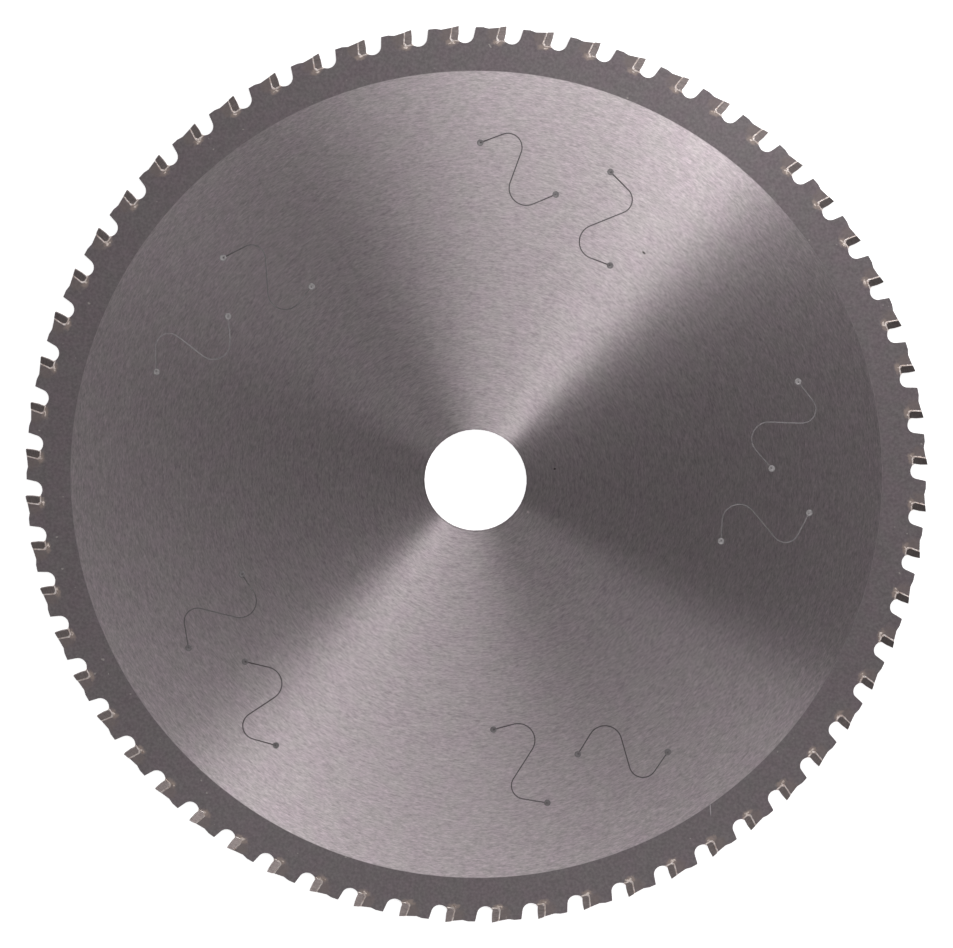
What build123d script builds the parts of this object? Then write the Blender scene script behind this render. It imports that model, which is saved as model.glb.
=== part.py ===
from build123d import *
import math
import os

# A circular saw blade with brazed carbide tips, lying flat.
# The origin is the centre of the bore at mid-thickness, +Z is the arbor's axis, and the blade cuts
# clockwise seen from +Z. Sizes are in millimetres and angles in degrees.

os.makedirs("parts", exist_ok=True)

# The blade as a whole
cutting_diameter = 265.0
bore_diameter = 30.0
tooth_count = 60
kerf_width = 2.4

# The steel plate
plate_thickness = 2.0

# The carbide tips: the face has a ground facet at its top, and the back and the rest of the face lean
# forwards with the seat
tip_thickness = 1.95
tip_height = 4.15
seat_lean = 10.0
hook_angle = 2.8
facet_height = 2.15
heel_bevel = 0.6
clearance_angle = 10.0
top_bevel = 2.2
radial_relief = 1.0
side_relief = 2.0
grinding_stock = 0.8

# The braze between a tip and its seat, a little proud of the plate
braze_thickness = 0.4
braze_width = 2.06
seat_bevel = 0.89
toe_height = 0.4

# The gullet ahead of each tip
gullet_radius = 2.55
gullet_depth = 5.06
gullet_advance = 1.78
ledge_slope = 27.0
wall_lean = 14.8

# The back of each tooth: the steel behind the tip is ground a little lower than the tip's top, down
# to a dip, then rises to a land that is level with the plate's edge
back_drop = 0.15
back_slope = 9.0
dip_advance = -5.1
land_start_advance = -6.8
land_end_advance = -9.6
land_depth = 0.47
open_height = 1.2

# The damping slots come in pairs, cut by laser right through the plate. Each runs from an end hole
# round two bends to another end hole. The points are (radius, angle), and the angle is measured
# clockwise from the first end hole of the pair. The end holes are small and there are twenty, so
# each is drawn with few sides.
slot_pair_count = 5
first_slot_angle = 50.9
slot_width = 0.35
end_hole_diameter = 2.0
end_hole_sides = 10
outer_slot_points = [(98.7, 0.0), (105.5, 8.1), (76.7, 3.8), (86.9, 14.8)]
outer_slot_bends = [4.1, 5.0]
inner_slot_points = [(98.4, 22.7), (94.3, 30.3), (73.0, 16.3), (74.3, 31.1)]
inner_slot_bends = [4.0, 5.0]

# How like pieces share a file
tips_per_file = 2
brazes_per_file = 4

cutting_radius = cutting_diameter / 2
tooth_pitch = 360 / tooth_count


def sin(angle):
    return math.sin(math.radians(angle))


def cos(angle):
    return math.cos(math.radians(angle))


def tan(angle):
    return math.tan(math.radians(angle))


def at_tooth(number):
    """The turn that takes the tooth on the X axis to another, counted clockwise."""
    return Location((0, 0, 0), (0, 0, -number * tooth_pitch))


# One tooth is drawn on this plane: the origin is its cutting edge, x runs the way the tooth moves
# and y runs outwards.
tooth_plane = Plane(origin=(cutting_radius, 0, 0), x_dir=(0, -1, 0), z_dir=(0, 0, 1))

# The corners of a tip seen from the side, with stock left over its top edge
knee = (-facet_height * tan(hook_angle), -facet_height)
foot = (knee[0] - (tip_height - facet_height) * tan(seat_lean), -tip_height)
heel = (foot[0] - tip_thickness / cos(seat_lean), -tip_height)
face_top = (grinding_stock * tan(hook_angle), grinding_stock)
back_top = (heel[0] + (tip_height + grinding_stock) * tan(seat_lean), grinding_stock)

with BuildSketch(tooth_plane) as tip_profile:
    with BuildLine():
        Polyline(face_top, knee, foot, heel, back_top, close=True)
    make_face()
    chamfer(tip_profile.vertices().group_by(Axis.Y)[0].sort_by(Axis.X)[0], heel_bevel)

# The gullet's two straight sides run tangent into its round floor
gullet_centre = (gullet_advance, gullet_radius - gullet_depth)
ledge_tangent = (
    gullet_centre[0] - gullet_radius * sin(ledge_slope),
    gullet_centre[1] - gullet_radius * cos(ledge_slope),
)
wall_tangent = (
    gullet_centre[0] + gullet_radius * cos(wall_lean),
    gullet_centre[1] - gullet_radius * sin(wall_lean),
)
wall_top = (wall_tangent[0] + (open_height - wall_tangent[1]) * tan(wall_lean), open_height)
ledge_start = (foot[0], ledge_tangent[1] + (ledge_tangent[0] - foot[0]) * tan(ledge_slope))

with BuildSketch(tooth_plane) as gullet:
    with BuildLine():
        Line((foot[0], open_height), ledge_start)
        Line(ledge_start, ledge_tangent)
        ThreePointArc(ledge_tangent, (gullet_advance, -gullet_depth), wall_tangent)
        Line(wall_tangent, wall_top)
        Line(wall_top, (foot[0], open_height))
    make_face()

# The seat is the tip's back and bottom moved out by the braze, and its bottom runs out at the ledge
seat_bottom = -tip_height - braze_thickness
seat_heel = (heel[0] - braze_thickness * (1 / cos(seat_lean) + tan(seat_lean)), seat_bottom)
seat_top = (back_top[0] - braze_thickness / cos(seat_lean), grinding_stock)
seat_front = (ledge_tangent[0] - (seat_bottom - ledge_tangent[1]) / tan(ledge_slope), seat_bottom)

with BuildSketch(tooth_plane) as seat:
    with BuildLine():
        Polyline(seat_top, seat_heel, seat_front, (seat_front[0], grinding_stock), close=True)
    make_face()
    chamfer(seat.vertices().group_by(Axis.Y)[0].sort_by(Axis.X)[0], seat_bevel)


def on_land(advance):
    """A point of the land, which is round the bore like the rest of the plate's edge."""
    land_radius = cutting_radius - land_depth
    return (advance, math.sqrt(land_radius**2 - advance**2) - cutting_radius)


# What is ground off the back of the tooth
back_start = (0, -back_drop)
dip = (dip_advance, dip_advance * tan(back_slope) - back_drop)

with BuildSketch(tooth_plane) as back_grind:
    with BuildLine():
        Polyline(back_start, dip, on_land(land_start_advance), on_land(land_end_advance))
        Polyline(on_land(land_end_advance), (land_end_advance, open_height), (0, open_height), back_start)
    make_face()

with BuildSketch() as plate_outline:
    Circle(cutting_radius)
    with PolarLocations(0, tooth_count):
        add(gullet.sketch, mode=Mode.SUBTRACT)
        add(seat.sketch, mode=Mode.SUBTRACT)
        add(back_grind.sketch, mode=Mode.SUBTRACT)


def draw_slot(points, bends, pair):
    """Draws one damping slot and its end holes in the sketch that is open."""
    start = first_slot_angle + pair * 360 / slot_pair_count
    corners = [(radius * cos(start + angle), -radius * sin(start + angle)) for radius, angle in points]
    with BuildLine() as centre_line:
        FilletPolyline(*corners, radius=bends)
    trace(centre_line.line, line_width=slot_width)
    with Locations(corners[0], corners[-1]):
        RegularPolygon(end_hole_diameter / 2, end_hole_sides)


with BuildPart() as blade_plate:
    add(plate_outline.sketch)
    extrude(amount=plate_thickness / 2, both=True)
    with BuildSketch():
        Circle(bore_diameter / 2)
        for pair in range(slot_pair_count):
            draw_slot(outer_slot_points, outer_slot_bends, pair)
            draw_slot(inner_slot_points, inner_slot_bends, pair)
    extrude(amount=plate_thickness, both=True, mode=Mode.SUBTRACT)

blade_plate.part.label = "blade_plate"
export_step(blade_plate.part, "parts/blade_plate.step")


def ground_tip(high_side):
    """A tip on the X axis. Its top is highest on the side high_side, +1 or -1 along Z."""
    high_corner = (cutting_radius, 0, high_side * kerf_width / 2)
    backwards = (-sin(clearance_angle), cos(clearance_angle), 0)
    outwards = (
        cos(clearance_angle) * cos(top_bevel),
        sin(clearance_angle) * cos(top_bevel),
        -high_side * cos(clearance_angle) * sin(top_bevel),
    )
    with BuildPart() as tip:
        add(tip_profile.sketch)
        extrude(amount=kerf_width, both=True)
        split(bisect_by=Plane(origin=high_corner, x_dir=backwards, z_dir=outwards), keep=Keep.BOTTOM)
        for side in (1, -1):
            side_origin = (cutting_radius, 0, side * kerf_width / 2)
            side_normal = (-tan(radial_relief), tan(side_relief), side)
            split(bisect_by=Plane(origin=side_origin, z_dir=side_normal), keep=Keep.BOTTOM)
    return tip


ground_tips = [ground_tip(-1), ground_tip(1)]

for file_number in range(tooth_count // tips_per_file):
    with BuildPart() as tip_pair:
        for place in range(tips_per_file):
            with Locations(at_tooth(file_number * tips_per_file + place)):
                add(ground_tips[place].part)
    tip_pair.part.label = f"tip_pair_{file_number + 1:02d}"
    export_step(tip_pair.part, f"parts/{tip_pair.part.label}.step")

# The braze fills the seat round the tip, and its toe rises from the ledge on to the tip's face
toe_top = (foot[0] + toe_height * tan(seat_lean), foot[1] + toe_height)

with BuildPart() as braze_layer:
    with BuildSketch(tooth_plane) as braze_section:
        with BuildLine():
            Polyline(seat_top, seat_heel, seat_front, toe_top, face_top, close=True)
        make_face()
        chamfer(braze_section.vertices().group_by(Axis.Y)[0].sort_by(Axis.X)[0], seat_bevel)
        add(tip_profile.sketch_local, mode=Mode.SUBTRACT)
        add(back_grind.sketch_local, mode=Mode.SUBTRACT)
    extrude(amount=braze_width / 2, both=True)

for file_number in range(tooth_count // brazes_per_file):
    with BuildPart() as braze_group:
        for place in range(brazes_per_file):
            with Locations(at_tooth(file_number * brazes_per_file + place)):
                add(braze_layer.part)
    braze_group.part.label = f"braze_{file_number + 1:02d}"
    export_step(braze_group.part, f"parts/{braze_group.part.label}.step")
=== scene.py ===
import math
import random

import bmesh
import bpy
from mathutils import Matrix, Vector


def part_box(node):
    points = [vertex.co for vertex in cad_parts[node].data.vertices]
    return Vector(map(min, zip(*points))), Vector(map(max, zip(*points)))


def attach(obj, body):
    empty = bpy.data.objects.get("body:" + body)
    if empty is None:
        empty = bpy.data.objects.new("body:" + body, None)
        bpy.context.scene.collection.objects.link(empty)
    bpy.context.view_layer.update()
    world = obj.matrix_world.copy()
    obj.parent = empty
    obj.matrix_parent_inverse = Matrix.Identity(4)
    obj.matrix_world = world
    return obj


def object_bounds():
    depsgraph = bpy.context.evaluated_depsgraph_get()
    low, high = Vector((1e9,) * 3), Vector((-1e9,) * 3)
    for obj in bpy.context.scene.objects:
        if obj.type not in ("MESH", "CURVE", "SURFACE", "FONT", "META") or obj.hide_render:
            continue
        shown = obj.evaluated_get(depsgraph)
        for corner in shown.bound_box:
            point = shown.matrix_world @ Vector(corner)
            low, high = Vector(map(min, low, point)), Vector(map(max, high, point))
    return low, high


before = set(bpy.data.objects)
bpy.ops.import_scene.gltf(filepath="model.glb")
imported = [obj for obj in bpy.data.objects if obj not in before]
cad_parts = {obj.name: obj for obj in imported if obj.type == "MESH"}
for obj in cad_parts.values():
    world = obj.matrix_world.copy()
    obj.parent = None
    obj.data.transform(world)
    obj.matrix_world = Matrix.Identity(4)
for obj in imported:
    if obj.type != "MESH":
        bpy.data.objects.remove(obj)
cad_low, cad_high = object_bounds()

# The looks of a carbide-tipped circular saw blade that lies flat on a pale floor.
# Lengths are in metres, and z = 0 is half way through the plate.

MM = 0.001
white = (1, 1, 1, 1)

# Heights that the blade's frame gives
plate_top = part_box("blade_plate")[1].z
floor_level = cad_low.z

# The ground disc ends at this radius, a little off the bore's centre, and a darker rim of bare steel
# carries the teeth
ground_radius = 119.1 * MM
ground_centre = (0.05 * MM, 0.33 * MM, 0.0)
bore_radius = 15.0 * MM

# The teeth, counted clockwise from +X. A point of a tooth is given by how far it is ahead of the cutting
# edge and how far outwards, and the tip's sides taper backwards and inwards from that edge.
tooth_count = 60
tooth_pitch = math.radians(360 / tooth_count)
cutting_radius = cad_high.x
side_taper_back = math.tan(math.radians(2.0))
side_taper_in = math.tan(math.radians(1.0))
tip_half_width = cad_high.z

# The middle of the braze line, down the tip's back, round its heel and forwards under it
braze_corners = [(-2.0 * MM, -0.5 * MM), (-2.68 * MM, -4.35 * MM), (-0.25 * MM, -4.37 * MM)]
braze_bend = 0.7 * MM
braze_half_width = 0.2 * MM

# The damping slots come in pairs of an outer and an inner one. Each has the corners of its route, as
# (radius in mm, clockwise angle in degrees), and the radii of its bends in mm.
slot_pair_count = 5
first_slot_angle = 50.9
slot_width = 0.35 * MM
slot_end_radius = 1.0 * MM
slot_routes = {
    "outer": ([(98.7, 0.0), (105.5, 8.1), (76.7, 3.8), (86.9, 14.8)], [4.1, 5.0]),
    "inner": ([(98.4, 22.7), (94.3, 30.3), (73.0, 16.3), (74.3, 31.1)], [4.0, 5.0]),
}

# The camera looks almost straight down. It leans towards one side of the blade and is rolled a little.
lens = 130.0
sensor_width = 36.0
camera_distance = 1.0099
camera_tilt = 6.113
camera_azimuth = 86.18
camera_roll = 3.927
camera_target = Vector((0.17 * MM, 1.91 * MM, plate_top))


def polar(radius, clockwise_degrees, z=0.0):
    """A point at a radius and an angle clockwise from +X, seen from above."""
    angle = math.radians(clockwise_degrees)
    return Vector((radius * math.cos(angle), -radius * math.sin(angle), z))


def tooth_point(number, advance, outward, z=0.0):
    """The place on the blade of a point of one tooth."""
    flat = Vector((cutting_radius + outward, -advance, z))
    return Matrix.Rotation(-number * tooth_pitch, 3, "Z") @ flat


def direction(azimuth, off_vertical):
    """The unit vector at an angle from the vertical, leaning towards an azimuth counted from +X."""
    azimuth = math.radians(azimuth)
    off_vertical = math.radians(off_vertical)
    flat = math.sin(off_vertical)
    return Vector((flat * math.cos(azimuth), flat * math.sin(azimuth), math.cos(off_vertical)))


def facing_matrix(location, forwards_z, across_x):
    """The matrix of an object at a location, with its Z axis and its X axis along two given directions."""
    across_y = forwards_z.cross(across_x)
    matrix = Matrix((across_x, across_y, forwards_z)).transposed().to_4x4()
    matrix.translation = location
    return matrix


def new_object(name, data, matrix=None):
    """Puts an object in the scene, where the matrix says."""
    item = bpy.data.objects.new(name, data)
    bpy.context.scene.collection.objects.link(item)
    if matrix is not None:
        item.matrix_world = matrix
    return item


# Camera

def make_camera():
    """The photograph's viewpoint."""
    data = bpy.data.cameras.new("camera")
    data.lens = lens
    data.sensor_width = sensor_width
    data.clip_start = 0.05
    data.clip_end = 50.0
    back = direction(camera_azimuth, camera_tilt)
    level_right = Vector((0, 1, 0)).cross(back).normalized()
    level_up = back.cross(level_right)
    roll = math.radians(camera_roll)
    right = level_right * math.cos(roll) + level_up * math.sin(roll)
    matrix = facing_matrix(camera_target + back * camera_distance, back, right)
    bpy.context.scene.camera = new_object("camera", data, matrix)


# Lamps: each is a rectangle that faces the blade, at an azimuth, an angle off the vertical and a
# distance, turned about its own axis. The fill lamp shows in no reflection, so it lights only the dull
# surfaces.
lamps = {
    "key_lamp": {
        "power": 1.8,
        "azimuth": 51.5,
        "off_vertical": 27.0,
        "distance": 1.269,
        "size": (0.05, 0.854),
        "turn": -7.9,
    },
    "strip_lamp": {
        "power": 1.08,
        "azimuth": 81.2,
        "off_vertical": 15.1,
        "distance": 0.843,
        "size": (0.313, 0.262),
        "turn": -28.9,
    },
    "low_lamp": {
        "power": 0.208,
        "azimuth": 295.6,
        "off_vertical": 70.6,
        "distance": 0.3,
        "size": (0.11, 0.386),
        "turn": -51.5,
    },
    "left_lamp": {
        "power": 0.084,
        "azimuth": 199.1,
        "off_vertical": 44.5,
        "distance": 0.3,
        "size": (0.467, 0.05),
        "turn": -45.4,
    },
    "fill_lamp": {
        "power": 0.36,
        "azimuth": 58.0,
        "off_vertical": 60.0,
        "distance": 0.32,
        "size": (0.12, 0.12),
        "turn": 0.0,
        "glossy": False,
    },
}
studio_grey = (0.141, 0.137, 0.139, 1)


def make_lamp(name, power, azimuth, off_vertical, distance, size, turn, glossy=True):
    """An area lamp. Without glossy it shows in no reflection."""
    data = bpy.data.lights.new(name, "AREA")
    data.shape = "RECTANGLE"
    data.size, data.size_y = size
    data.energy = power
    towards = direction(azimuth, off_vertical)
    level = Vector((-math.sin(math.radians(azimuth)), math.cos(math.radians(azimuth)), 0))
    turn = math.radians(turn)
    across = level * math.cos(turn) + towards.cross(level) * math.sin(turn)
    lamp = new_object(name, data, facing_matrix(towards * distance, towards, across))
    lamp.visible_camera = False
    lamp.visible_glossy = glossy


def make_world():
    """A grey room that lights the blade softly, and white where the camera sees it."""
    world = bpy.data.worlds.new("studio")
    bpy.context.scene.world = world
    world.use_nodes = True
    nodes = world.node_tree.nodes
    links = world.node_tree.links
    shade = nodes.new("ShaderNodeMix")
    shade.data_type = "RGBA"
    shade.inputs[6].default_value = studio_grey
    shade.inputs[7].default_value = white
    links.new(nodes.new("ShaderNodeLightPath").outputs["Is Camera Ray"], shade.inputs[0])
    links.new(shade.outputs[2], nodes["Background"].inputs["Color"])
    nodes["Background"].inputs["Strength"].default_value = 1.0


# Materials

class Shader:
    """Builds one material's nodes. Most methods add a node or two and return the socket that they give."""

    def __init__(self, name):
        self.material = bpy.data.materials.new(name)
        self.material.use_nodes = True
        self.tree = self.material.node_tree
        self.surface = self.tree.nodes["Principled BSDF"]
        self.output = self.tree.nodes["Material Output"]

    def node(self, kind, inputs=None, **settings):
        """Adds a node and returns it."""
        made = self.tree.nodes.new(kind)
        for name, value in settings.items():
            setattr(made, name, value)
        for name, value in (inputs or {}).items():
            self.feed(made.inputs[name], value)
        return made

    def feed(self, socket, value):
        """Gives an input a value, or a link where the value is a socket."""
        if isinstance(value, bpy.types.NodeSocket):
            self.tree.links.new(value, socket)
        else:
            socket.default_value = value

    def set(self, **values):
        """Sets inputs of the Principled shader. Their names are in lower case, with _ for a space."""
        for name, value in values.items():
            self.feed(self.surface.inputs[name.replace("_", " ").title()], value)

    def position(self):
        return self.node("ShaderNodeTexCoord").outputs["Object"]

    def split(self, vector):
        """The three parts of a vector."""
        return self.node("ShaderNodeSeparateXYZ", {0: vector}).outputs

    def join(self, x, y, z):
        return self.node("ShaderNodeCombineXYZ", {0: x, 1: y, 2: z}).outputs[0]

    def math(self, operation, first, second=0.0):
        return self.node("ShaderNodeMath", {0: first, 1: second}, operation=operation).outputs[0]

    def vector(self, operation, first, second=(0.0, 0.0, 0.0)):
        """A vector worked out from one vector or two."""
        return self.node("ShaderNodeVectorMath", {0: first, 1: second}, operation=operation).outputs[0]

    def measure(self, operation, first, second=(0.0, 0.0, 0.0)):
        """A number worked out from one vector or two, such as a length."""
        made = self.node("ShaderNodeVectorMath", {0: first, 1: second}, operation=operation)
        return made.outputs["Value"]

    def scaled(self, vector, factor):
        """A vector or a colour times a factor."""
        return self.node("ShaderNodeVectorMath", {0: vector, "Scale": factor}, operation="SCALE").outputs[0]

    def flat_radius(self, vector):
        """The distance from the vertical axis."""
        x, y, _ = self.split(vector)
        return self.measure("LENGTH", self.join(x, y, 0.0))

    def noise(self, vector, scale, detail=2.0, roughness=0.5):
        """Noise round 0.5, with spots about 1 / scale across."""
        inputs = {"Vector": vector, "Scale": scale, "Detail": detail, "Roughness": roughness}
        return self.node("ShaderNodeTexNoise", inputs).outputs["Fac"]

    def remap(self, value, low, high, to_low=0.0, to_high=1.0):
        """A value from one range, held inside it and moved to another."""
        inputs = {0: value, 1: low, 2: high, 3: to_low, 4: to_high}
        return self.node("ShaderNodeMapRange", inputs).outputs[0]

    def smooth_step(self, value, low, high):
        inputs = {0: value, 1: low, 2: high}
        return self.node("ShaderNodeMapRange", inputs, interpolation_type="SMOOTHSTEP").outputs[0]

    def varied(self, noise, contrast):
        """A factor that goes from 1 - contrast to 1 + contrast while the noise goes from 0.3 to 0.7."""
        return self.remap(noise, 0.3, 0.7, 1 - contrast, 1 + contrast)

    def mix(self, share, first, second):
        """The first colour, with a share of the second."""
        made = self.node("ShaderNodeMix", data_type="RGBA")
        self.feed(made.inputs[0], share)
        self.feed(made.inputs[6], first)
        self.feed(made.inputs[7], second)
        return made.outputs[2]

    def bump(self, height, distance):
        return self.node("ShaderNodeBump", {"Height": height, "Distance": distance}).outputs[0]


def ring_tangent(shader, place):
    """The direction along the grinding rings, round the blade's axis."""
    around = shader.vector("CROSS_PRODUCT", (0.0, 0.0, 1.0), place)
    turned = shader.node("ShaderNodeVectorTransform", {"Vector": around}, vector_type="VECTOR",
                         convert_from="OBJECT", convert_to="WORLD")
    return shader.vector("NORMALIZE", turned.outputs[0])


def ground_grain(shader, place, length, width):
    """Fine streaks along the rings that the grinding wheel left, of a given length and width."""
    x, y, _ = shader.split(place)
    radius = shader.flat_radius(place)
    rings = shader.join(shader.math("MULTIPLY", x, 1 / length), shader.math("MULTIPLY", y, 1 / length),
                        shader.math("MULTIPLY", radius, 1 / width))
    return shader.noise(rings, 1.0, detail=3.0, roughness=0.6)


def nearest_tooth(shader, place):
    """How far a point is ahead of the nearest tooth's cutting edge, and how far outwards of it."""
    x, y, _ = shader.split(place)
    turn = shader.math("DIVIDE", shader.math("ARCTAN2", y, x), -tooth_pitch)
    past = shader.math("SUBTRACT", turn, shader.math("ROUND", turn))
    radius = shader.flat_radius(place)
    advance = shader.math("MULTIPLY", shader.math("MULTIPLY", past, tooth_pitch), radius)
    return advance, shader.math("SUBTRACT", radius, cutting_radius)


# Stains on the rim behind each tip: where the middle of each is, from the cutting edge, how far it
# reaches, its strength and its colour. The first comes from the heat of brazing and the second from flux.
stains = [
    ((-3.6 * MM, -2.4 * MM), (2.4 * MM, 2.6 * MM), 0.5, (0.26, 0.21, 0.195, 1)),
    ((-2.2 * MM, -4.75 * MM), (1.9 * MM, 1.1 * MM), 0.7, (0.45, 0.36, 0.315, 1)),
]


def oval_patch(shader, advance, outward, centre, reach, ragged):
    """1 inside an oval of a tooth, 0 outside, with an edge that the socket ragged moves in and out."""
    raggedness = 1.6
    fade_start = 1.2
    fade_end = 2.0
    across = shader.math("DIVIDE", shader.math("SUBTRACT", advance, centre[0]), reach[0])
    up = shader.math("DIVIDE", shader.math("SUBTRACT", outward, centre[1]), reach[1])
    distance = shader.measure("LENGTH", shader.join(across, up, 0.0))
    edge = shader.math("ADD", distance, shader.math("MULTIPLY", ragged, raggedness))
    return shader.math("SUBTRACT", 1.0, shader.smooth_step(edge, fade_start, fade_end))


# Wear on the upper face: two pits, a scratch over the ground disc's edge and a pale spot by the bore.
# Each has the two ends of its middle line, as (radius in mm, clockwise angle in degrees), its half width
# in mm and its colour.
pit_colour = (0.1, 0.09, 0.09, 1)
scratch_colour = (0.5, 0.46, 0.48, 1)
spot_colour = (0.7, 0.62, 0.63, 1)
marks = [
    ((23.4, 347.7), (23.6, 347.7), 0.34, pit_colour),
    ((82.9, 302.1), (82.8, 302.7), 0.3, pit_colour),
    ((118.2, 50.1), (121.9, 51.2), 0.2, scratch_colour),
    ((17.9, 27.1), (18.1, 27.3), 0.45, spot_colour),
]


def oval_mark(shader, place, start, end, half_width):
    """1 inside a small oval on the plate's upper face, round the line from start to end, and 0 outside."""
    fade_start = 0.6
    along = (end - start).normalized()
    across = Vector((-along.y, along.x, 0))
    half_length = (end - start).length / 2 + half_width
    offset = shader.vector("SUBTRACT", place, (start + end) / 2)
    lengthwise = shader.measure("DOT_PRODUCT", offset, along / half_length)
    sideways = shader.measure("DOT_PRODUCT", offset, across / half_width)
    depth = shader.math("DIVIDE", shader.split(offset)[2], half_width)
    distance = shader.measure("LENGTH", shader.join(lengthwise, sideways, depth))
    return shader.math("SUBTRACT", 1.0, shader.smooth_step(distance, fade_start, 1.0))


def disc_colour(shader, place, tint):
    """The ground disc: grain streaks, painted lighter to its edge, with a painted shade line round the bore.
    """
    coarse_share = 0.4
    grain_contrast = 0.36
    # Painted light: the disc's colour gets lighter between these radii, standing in for light on its outer
    # part
    painted_light_from = 40 * MM
    painted_light_to = 120 * MM
    painted_edge_light_gain = 1.31
    # Painted shade: a dark line round the bore's edge, standing in for the shade on that edge
    painted_bore_shade_start = bore_radius + 0.05 * MM
    painted_bore_shade_end = bore_radius + 0.3 * MM
    painted_bore_shade = 0.6
    pinkish = (0.474, 0.41, 0.437, 1)
    greyish = (0.467, 0.422, 0.431, 1)

    coarse = ground_grain(shader, place, 3.0 * MM, 0.6 * MM)
    fine = ground_grain(shader, place, 1.2 * MM, 0.26 * MM)
    grain = shader.math("ADD", shader.math("MULTIPLY", coarse, coarse_share),
                        shader.math("MULTIPLY", fine, 1 - coarse_share))
    radius = shader.flat_radius(place)
    # Painted light: a gain that lightens the colour towards the disc's edge
    painted_light_share = shader.remap(radius, painted_light_from, painted_light_to)
    painted_light_gain = shader.remap(shader.math("MULTIPLY", painted_light_share, painted_light_share), 0.0, 1.0, 1.0, painted_edge_light_gain)
    # The painted shade line round the bore
    past_painted_bore_shade = shader.smooth_step(radius, painted_bore_shade_start, painted_bore_shade_end)
    painted_bore_shade_gain = shader.remap(past_painted_bore_shade, 0.0, 1.0, painted_bore_shade, 1.0)
    gain = shader.math("MULTIPLY", painted_light_gain, painted_bore_shade_gain)
    bright = shader.math("MULTIPLY", shader.varied(grain, grain_contrast), gain)
    return shader.scaled(shader.mix(tint, pinkish, greyish), bright)


def rim_colour(shader, place, tint):
    """The unground rim: speckled, with a few pale specks, and stained behind each tip."""
    speckle_contrast = 0.18
    speck_start = 0.765
    speck_full = 0.82
    speck_colour = (0.42, 0.385, 0.37, 1)
    pinkish = (0.214, 0.178, 0.193, 1)
    greyish = (0.208, 0.186, 0.191, 1)

    speckle = shader.noise(place, 1300.0, detail=3.0)
    colour = shader.scaled(shader.mix(tint, pinkish, greyish), shader.varied(speckle, speckle_contrast))
    specks = shader.smooth_step(shader.noise(place, 620.0, detail=1.0), speck_start, speck_full)
    colour = shader.mix(specks, colour, speck_colour)
    advance, outward = nearest_tooth(shader, place)
    ragged = shader.noise(place, 900.0, detail=4.0, roughness=0.6)
    for centre, reach, strength, stain_colour in stains:
        patch = oval_patch(shader, advance, outward, centre, reach, ragged)
        colour = shader.mix(shader.math("MULTIPLY", patch, strength), colour, stain_colour)
    return colour


def steel_material():
    """The plate: ground in rings inside, with a darker, duller rim, and a few marks of wear."""
    half_blur = 0.12 * MM
    disc_metallic = 1.0
    rim_metallic = 0.22
    disc_roughness = 0.428
    rim_roughness = 0.58

    shader = Shader("ground_steel")
    place = shader.position()
    ring_radius = shader.flat_radius(shader.vector("SUBTRACT", place, ground_centre))
    rim = shader.smooth_step(ring_radius, ground_radius - half_blur, ground_radius + half_blur)
    # The disc and the rim are both pinkish in some places and greyish in others
    tint = shader.remap(shader.noise(place, 160.0), 0.35, 0.65)
    colour = shader.mix(rim, disc_colour(shader, place, tint), rim_colour(shader, place, tint))
    for start, end, half_width, mark_colour in marks:
        ends = [polar(radius * MM, angle, plate_top) for radius, angle in (start, end)]
        colour = shader.mix(oval_mark(shader, place, *ends, half_width * MM), colour, mark_colour)
    shader.set(
        base_color=colour,
        metallic=shader.remap(rim, 0.0, 1.0, disc_metallic, rim_metallic),
        roughness=shader.remap(rim, 0.0, 1.0, disc_roughness, rim_roughness),
        anisotropic=1.0,
        anisotropic_rotation=0.25,
        tangent=ring_tangent(shader, place),
    )
    return shader.material


def carbide_material():
    """Dark sintered carbide with grinding lines, and a painted highlight along its edges.

    The shading leans a little forwards and inwards of the true faces. This brings the tips nearer to how
    they brighten and darken round the blade in the photograph, but some stay too dark.
    """
    line_contrast = 0.25
    lean_forwards = 0.045
    lean_inwards = 0.14
    face_colour = (0.345, 0.295, 0.288, 1)
    painted_highlight_colour = (0.5, 0.44, 0.43, 1)

    shader = Shader("carbide")
    place = shader.position()
    lines = ground_grain(shader, place, 1.5 * MM, 0.2 * MM)
    around = ring_tangent(shader, place)
    true_normal = shader.node("ShaderNodeNewGeometry").outputs["Normal"]
    forwards = shader.scaled(around, -lean_forwards)
    inwards = shader.scaled(place, -lean_inwards / cutting_radius)
    leaning = shader.vector("ADD", shader.vector("ADD", true_normal, forwards), inwards)
    # Painted highlight: the colour is lighter near the edges, where a rounded normal parts from the true one
    rounded = shader.node("ShaderNodeBevel", {"Radius": 0.09 * MM}, samples=6).outputs[0]
    alike = shader.measure("DOT_PRODUCT", true_normal, rounded)
    edge = shader.remap(alike, 0.9, 1.0, 1.0, 0.0)
    colour = shader.mix(edge, face_colour, painted_highlight_colour)
    shader.set(
        base_color=shader.scaled(colour, shader.varied(lines, line_contrast)),
        metallic=1.0,
        roughness=0.45,
        normal=shader.vector("NORMALIZE", leaning),
        anisotropic=1.0,
        anisotropic_rotation=0.25,
        tangent=around,
    )
    return shader.material


def braze_material():
    """Pale silver solder, uneven where it cooled."""
    dull_colour = (0.6, 0.48, 0.43, 1)
    bright_colour = (0.9, 0.82, 0.79, 1)

    shader = Shader("braze_alloy")
    place = shader.position()
    mottle = shader.noise(place, 1100.0, detail=3.0)
    lumps = shader.noise(place, 2500.0)
    shader.set(
        base_color=shader.mix(shader.remap(mottle, 0.35, 0.62), dull_colour, bright_colour),
        metallic=0.6,
        roughness=0.42,
        normal=shader.bump(lumps, 0.04 * MM),
    )
    return shader.material


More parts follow.
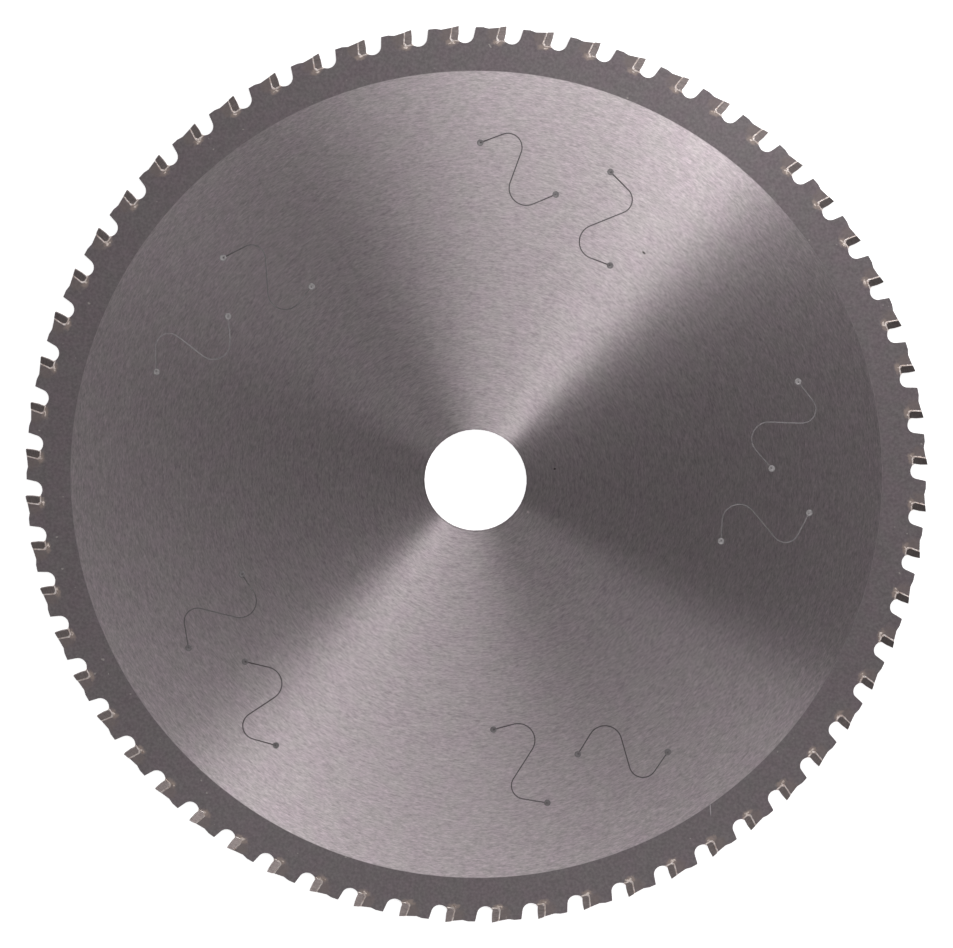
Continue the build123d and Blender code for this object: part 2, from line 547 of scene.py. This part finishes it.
def flux_material():
    """Solder and burnt flux that ran out beside the tips: cream in places, brown in others."""
    brown = (0.3, 0.225, 0.19, 1)
    cream = (0.85, 0.74, 0.68, 1)

    shader = Shader("burnt_flux")
    place = shader.position()
    patches = shader.noise(place, 1300.0, detail=4.0, roughness=0.6)
    shader.set(
        base_color=shader.mix(shader.remap(patches, 0.38, 0.56), brown, cream),
        metallic=0.25,
        roughness=0.5,
        normal=shader.bump(patches, 0.06 * MM),
    )
    return shader.material


def resin_material(name, colour, roughness):
    """Hard resin with a faint mottle."""
    mottle_contrast = 0.2

    shader = Shader(name)
    mottle = shader.noise(shader.position(), 1800.0)
    shader.set(
        base_color=shader.scaled(colour, shader.varied(mottle, mottle_contrast)),
        roughness=roughness,
        normal=shader.bump(mottle, 0.02 * MM),
    )
    return shader.material


def dress_frame(materials):
    """Gives each CAD node the material of its kind."""
    for name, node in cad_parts.items():
        kind = next(kind for kind in materials if name.startswith(kind))
        node.data.materials.clear()
        node.data.materials.append(materials[kind])


# Making meshes

def rounded_route(corners, radii, step):
    """Points along a line with its inner corners rounded, about a step apart on the bends."""
    points = [corners[0]]
    for before, corner, after, radius in zip(corners, corners[1:], corners[2:], radii):
        back = (before - corner).normalized()
        ahead = (after - corner).normalized()
        half_angle = back.angle(ahead) / 2
        centre = corner + (back + ahead).normalized() * (radius / math.sin(half_angle))
        start = corner + back * (radius / math.tan(half_angle))
        end = corner + ahead * (radius / math.tan(half_angle))
        turn = math.pi - 2 * half_angle
        count = max(2, round(radius * turn / step))
        spoke = start - centre
        side = math.copysign(1, spoke.cross(end - centre).z)
        for i in range(count + 1):
            points.append(centre + Matrix.Rotation(side * turn * i / count, 3, "Z") @ spoke)
    points.append(corners[-1])
    return points


def add_ribbon(mesh, points, sections):
    """Adds a solid strip along the points. Each point has its section, a closed list of (leftwards, z)."""
    rings = []
    for i, (point, section) in enumerate(zip(points, sections)):
        before = points[max(i - 1, 0)]
        after = points[min(i + 1, len(points) - 1)]
        along = (after - before).normalized()
        left = Vector((-along.y, along.x, 0))
        rings.append([mesh.verts.new(point + left * offset + Vector((0, 0, z))) for offset, z in section])
    skin_rings(mesh, rings)


def skin_rings(mesh, rings):
    """Joins each ring of points to the next with faces, and closes both ends."""
    for ring, following in zip(rings, rings[1:]):
        for i in range(len(ring)):
            j = (i + 1) % len(ring)
            mesh.faces.new((ring[i], ring[j], following[j], following[i]))
    mesh.faces.new(reversed(rings[0]))
    mesh.faces.new(rings[-1])


def finish_piece(name, mesh, material):
    """Turns a mesh into a piece that rides on the blade."""
    bmesh.ops.recalc_face_normals(mesh, faces=mesh.faces)
    for face in mesh.faces:
        face.smooth = True
    data = bpy.data.meshes.new(name)
    mesh.to_mesh(data)
    mesh.free()
    data.materials.append(material)
    piece = new_object(name, data)
    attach(piece, "root")


# Resin in the damping slots

# One resin is given lighter and darker colours in different slots, as painted highlight and painted
# shade. Each pair, clockwise from the first, has the shade of its outer slot and of its inner one.
line_colours_lit_and_shaded = {
    "dark": (0.1, 0.086, 0.09),
    "middle": (0.145, 0.132, 0.136),
    "pale": (0.2, 0.185, 0.191),
    "light": (0.26, 0.24, 0.248),
}
line_lit_and_shaded_picks = [
    ("dark", "dark"),
    ("dark", "middle"),
    ("light", "middle"),
    ("dark", "dark"),
    ("pale", "pale"),
]
line_roughness = 0.3

# The resin has shrunk to a shallow trough in each slot: (share of the half width, share of the depth)
trough_depth = 0.05 * MM
trough_shape = [(1.0, 0.0), (0.55, 0.6), (0.0, 1.0), (-0.55, 0.6), (-1.0, 0.0)]

# The plugs of resin in the end holes are one resin, paler in some pairs as painted highlight and darker
# in others as painted shade. Each shade has its colour and the pairs of slots that it is in.
# A plug's face is a raised ring round a dimple: (share of the hole's radius, height above the plate).
plug_lit_and_shaded_colours = {
    "pale": ((0.33, 0.31, 0.315), [2, 4]),
    "dark": ((0.19, 0.175, 0.18), [0, 1, 3]),
}
plug_roughness = 0.35
plug_sides = 36
plug_face = [
    (0.12, -0.05 * MM),
    (0.38, -0.035 * MM),
    (0.6, 0.005 * MM),
    (0.78, 0.012 * MM),
    (0.93, -0.005 * MM),
    (1.0, -0.05 * MM),
]


def slot_corners(points, pair):
    """The corners of one slot's route on the blade."""
    start = first_slot_angle + pair * 360 / slot_pair_count
    return [polar(radius * MM, start + angle) for radius, angle in points]


def make_slot_line(name, slot_route, pair, material):
    """The resin along one damping slot."""
    bend_step = 0.35 * MM
    points, bends = slot_route
    route = rounded_route(slot_corners(points, pair), [bend * MM for bend in bends], bend_step)
    trough = [(across * slot_width / 2, plate_top - down * trough_depth) for across, down in trough_shape]
    section = trough + [(offset, -z) for offset, z in reversed(trough)]
    mesh = bmesh.new()
    add_ribbon(mesh, route, [section] * len(route))
    finish_piece(name, mesh, material)


def add_plug(mesh, centre, profile):
    """Adds a solid turned about a vertical axis, from a list of (radius, z) that goes from top to bottom."""
    rings = []
    for radius, z in profile:
        ring = []
        for i in range(plug_sides):
            angle = 2 * math.pi * i / plug_sides
            offset = Vector((radius * math.cos(angle), radius * math.sin(angle), z))
            ring.append(mesh.verts.new(centre + offset))
        rings.append(ring)
    skin_rings(mesh, rings)


def make_slot_plugs(name, pairs, material):
    """The resin in the end holes of some pairs of slots."""
    profile = [(share * slot_end_radius, plate_top + height) for share, height in plug_face]
    profile += [(radius, -z) for radius, z in reversed(profile)]
    mesh = bmesh.new()
    for pair in pairs:
        for points, _ in slot_routes.values():
            corners = slot_corners(points, pair)
            for end in (corners[0], corners[-1]):
                add_plug(mesh, end, profile)
    finish_piece(name, mesh, material)


def make_slot_fills():
    """The resin in every slot and end hole."""
    resins = {}
    # Lighter and darker copies of the one resin, carrying painted highlight and painted shade
    for shade, colour in line_colours_lit_and_shaded.items():
        resins[shade] = resin_material(f"{shade}_line_resin", colour, line_roughness)
    for pair, shades in enumerate(line_lit_and_shaded_picks):
        for label, shade in zip(slot_routes, shades):
            make_slot_line(f"slot_fill_{label}_{pair + 1}", slot_routes[label], pair, resins[shade])
    # The plugs' pale and dark copies of one resin carry painted highlight and painted shade
    for shade, (colour, pairs) in plug_lit_and_shaded_colours.items():
        resin = resin_material(f"{shade}_plug_resin", colour, plug_roughness)
        make_slot_plugs(f"slot_plugs_{shade}", pairs, resin)


# Solder beads and spilt flux

random_seed = 7

# A bead wanders along its length in how far it spreads over the plate and in how full it is
bead_spread = (0.16 * MM, 0.34 * MM)
bead_spread_waves = (1.0, 2.3, 4.1)
bead_fullness = (0.55, 1.0)
bead_fullness_waves = (1.4, 3.1)

# The drops of flux behind each tip's foot. Their number is drawn from the list. Each drop's place, from
# the cutting edge, its half sizes and its height are drawn between two values in mm, and its turn between
# two in radians. Its outline wanders between two shares of the half sizes.
drop_counts = (1, 1, 2, 2, 3)
drop_advance = (-2.9, -1.5)
drop_outward = (-5.1, -4.65)
drop_half_length = (0.3, 0.95)
drop_half_width = (0.2, 0.42)
drop_turn = (-0.5, 0.5)
drop_height = (0.03, 0.07)
drop_outline = (0.7, 1.25)
drop_outline_waves = (2, 3, 5)
drop_sides = 20


def wander(dice, waves, low, high):
    """A smooth random function of 0 to 1 that stays between two values.

    It adds up sine waves, and waves says how many times each repeats from 0 to 1.
    """
    parts = [(wave, dice.uniform(0, 2 * math.pi), dice.uniform(0.4, 1.0)) for wave in waves]
    most = sum(weight for _, _, weight in parts)

    def value(share):
        swing = sum(weight * math.sin(2 * math.pi * wave * share + phase) for wave, phase, weight in parts)
        return low + (high - low) * (0.5 + 0.5 * swing / most)

    return value


def spread_evenly(points, step):
    """The same line with points at most a step apart."""
    spread = [points[0]]
    for before, after in zip(points, points[1:]):
        count = max(1, math.ceil((after - before).length / step))
        for i in range(1, count + 1):
            spread.append(before.lerp(after, i / count))
    return spread


def bead_section(point, out, full):
    """The fillet's section at a point of the braze line, as a list of (leftwards, z) on the upper side.

    It spreads outwards by out over the plate, and full is how full it is, at most 1.
    """
    tip_side = tip_half_width + side_taper_in * point.y + side_taper_back * point.x
    rise = tip_side - plate_top
    return [
        (braze_half_width, plate_top + 0.9 * rise),
        (0.3 * braze_half_width, plate_top + (0.55 + 0.35 * full) * rise),
        (-0.3 * out, plate_top + (0.35 + 0.4 * full) * rise),
        (-0.75 * out, plate_top + (0.15 + 0.3 * full) * rise),
        (-out, plate_top - 0.01 * MM),
        (-out, plate_top - 0.05 * MM),
        (braze_half_width, plate_top - 0.05 * MM),
    ]


def add_bead(mesh, number, side, dice):
    """The solder fillet from the plate up to a tip's side, along the braze on one face of the blade."""
    bend_step = 0.12 * MM
    step = 0.16 * MM
    corners = [Vector((advance, outward, 0)) for advance, outward in braze_corners]
    route = spread_evenly(rounded_route(corners, [braze_bend], bend_step), step)
    outer = wander(dice, bead_spread_waves, *bead_spread)
    crown = wander(dice, bead_fullness_waves, *bead_fullness)
    points = []
    sections = []
    for i, point in enumerate(route):
        share = i / (len(route) - 1)
        section = bead_section(point, outer(share), crown(share))
        points.append(tooth_point(number, point.x, point.y))
        sections.append([(offset, side * z) for offset, z in section])
    add_ribbon(mesh, points, sections)


def add_drop(mesh, number, side, centre, reach, turn, height, dice):
    """A low drop with a ragged outline on one face of the blade."""
    outline = wander(dice, drop_outline_waves, *drop_outline)
    levels = [(1.0, -0.01 * MM), (0.93, 0.35 * height), (0.75, 0.8 * height), (0.4, height)]
    lean = Matrix.Rotation(turn, 2)
    rings = []
    for share, z in levels:
        ring = []
        for i in range(drop_sides):
            angle = 2 * math.pi * i / drop_sides
            spread = share * outline(i / drop_sides)
            upright = Vector((reach[0] * spread * math.cos(angle), reach[1] * spread * math.sin(angle)))
            offset = lean @ upright
            point = tooth_point(number, centre[0] + offset.x, centre[1] + offset.y, side * (plate_top + z))
            ring.append(mesh.verts.new(point))
        rings.append(ring)
    skin_rings(mesh, rings)


def make_beads_and_spills(bead_material, spill_material):
    """The solder beads and the drops of flux at every tip, on both faces."""
    dice = random.Random(random_seed)
    for label, side in (("front", 1), ("back", -1)):
        beads = bmesh.new()
        spills = bmesh.new()
        for number in range(tooth_count):
            add_bead(beads, number, side, dice)
            for _ in range(dice.choice(drop_counts)):
                centre = (dice.uniform(*drop_advance) * MM, dice.uniform(*drop_outward) * MM)
                reach = (dice.uniform(*drop_half_length) * MM, dice.uniform(*drop_half_width) * MM)
                turn = dice.uniform(*drop_turn)
                height = dice.uniform(*drop_height) * MM
                add_drop(spills, number, side, centre, reach, turn, height, dice)
        finish_piece(f"braze_beads_{label}", beads, bead_material)
        finish_piece(f"flux_spills_{label}", spills, spill_material)


# Floor

floor_radius = 3.0
floor_gap = 0.02 * MM
floor_grey = (0.85, 0.85, 0.85, 1)
floor_glow = 0.78


def floor_material():
    """White to the camera and in reflections, and still with the blade's shadow. From below it is clear."""
    shader = Shader("floor")
    shader.tree.nodes.remove(shader.surface)
    path = shader.node("ShaderNodeLightPath").outputs
    seen = shader.math("MAXIMUM", shader.math("MAXIMUM", path["Is Camera Ray"], path["Is Glossy Ray"]),
                       path["Is Transmission Ray"])
    strength = shader.math("MULTIPLY", seen, floor_glow)
    glow = shader.node("ShaderNodeEmission", {"Color": white, "Strength": strength})
    matt = shader.node("ShaderNodeBsdfDiffuse", {"Color": floor_grey})
    both = shader.node("ShaderNodeAddShader", {0: glow.outputs[0], 1: matt.outputs[0]})
    clear = shader.node("ShaderNodeBsdfTransparent")
    below = shader.node("ShaderNodeNewGeometry").outputs["Backfacing"]
    faced = shader.node("ShaderNodeMixShader", {0: below, 1: both.outputs[0], 2: clear.outputs[0]})
    shader.tree.links.new(faced.outputs[0], shader.output.inputs["Surface"])
    return shader.material


def make_floor():
    """A round floor just under the blade."""
    mesh = bmesh.new()
    bmesh.ops.create_circle(mesh, cap_ends=True, segments=96, radius=floor_radius)
    data = bpy.data.meshes.new("floor")
    mesh.to_mesh(data)
    mesh.free()
    data.materials.append(floor_material())
    floor = new_object("floor", data)
    floor.location.z = floor_level - floor_gap


make_camera()
for name, settings in lamps.items():
    make_lamp(name, **settings)
make_world()
make_floor()

braze = braze_material()
dress_frame({"blade_plate": steel_material(), "tip_pair": carbide_material(), "braze": braze})
make_slot_fills()
make_beads_and_spills(braze, flux_material())

bpy.context.scene.view_settings.view_transform = "Standard"
